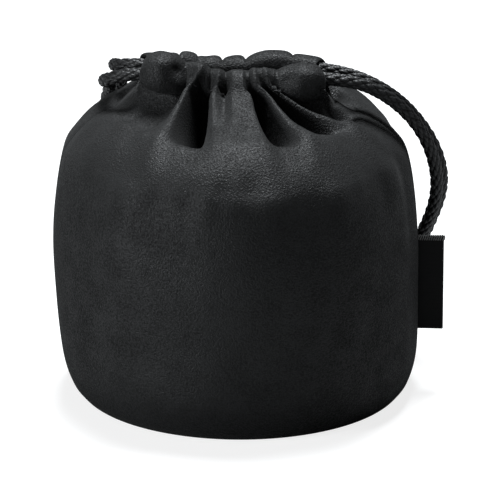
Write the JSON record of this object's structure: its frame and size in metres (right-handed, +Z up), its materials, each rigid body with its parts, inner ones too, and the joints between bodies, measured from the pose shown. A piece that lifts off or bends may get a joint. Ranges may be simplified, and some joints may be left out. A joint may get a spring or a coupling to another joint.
{
  "type": "lens pouch",
  "caption": "Round soft pouch for a camera lens, drawn shut by cords that run in hemmed channels round its gathered mouth, with a bare ribbon tag in the side seam.",
  "frame": {"origin": "middle of the base's underside, on the surface that the pouch stands on", "axes": "+Z up through the mouth, +X to the side seam with the tag, -Y to the front panel"},
  "size_m": [0.1107, 0.1248, 0.1032],
  "materials": {
    "suede": "brushed synthetic suede, matt black",
    "lining": "smooth woven lining",
    "foam": "closed-cell foam sheet",
    "cord": "braided nylon cord with a slight shine",
    "woven_ribbon": "woven satin ribbon"
  },
  "bodies": {
    "pouch": {"front_panel": "suede", "back_panel": "suede", "lining_sleeve": "lining", "base_panel": "suede", "base_pad": "foam", "lining_base": "lining", "front_channel": "suede", "back_channel": "suede", "right_drawcord_loop": "cord", "left_drawcord_loop": "cord"},
    "right_drawcord": {"right_strand_front": "cord", "right_strand_back": "cord", "right_knot": "cord"},
    "left_drawcord": {"left_strand_front": "cord", "left_strand_back": "cord", "left_knot": "cord"},
    "tag": {"side_tag": "woven_ribbon"}
  },
  "joints": [
    {"name": "right_cord_pull", "type": "slide", "parent": "pouch", "child": "right_drawcord", "axis": [0.994, 0, -0.1091], "range_m": [0, 0.007]},
    {"name": "left_cord_pull", "type": "slide", "parent": "pouch", "child": "left_drawcord", "axis": [-0.994, 0, 0.1091], "range_m": [0, 0.007]},
    {"name": "tag_flap", "type": "hinge", "parent": "pouch", "child": "tag", "pos_m": [0.05195, 0, 0.031], "axis": [0, 0, 1], "range_deg": [-70, 70], "stiffness_Nm_per_rad": 0.00002}
  ]
}
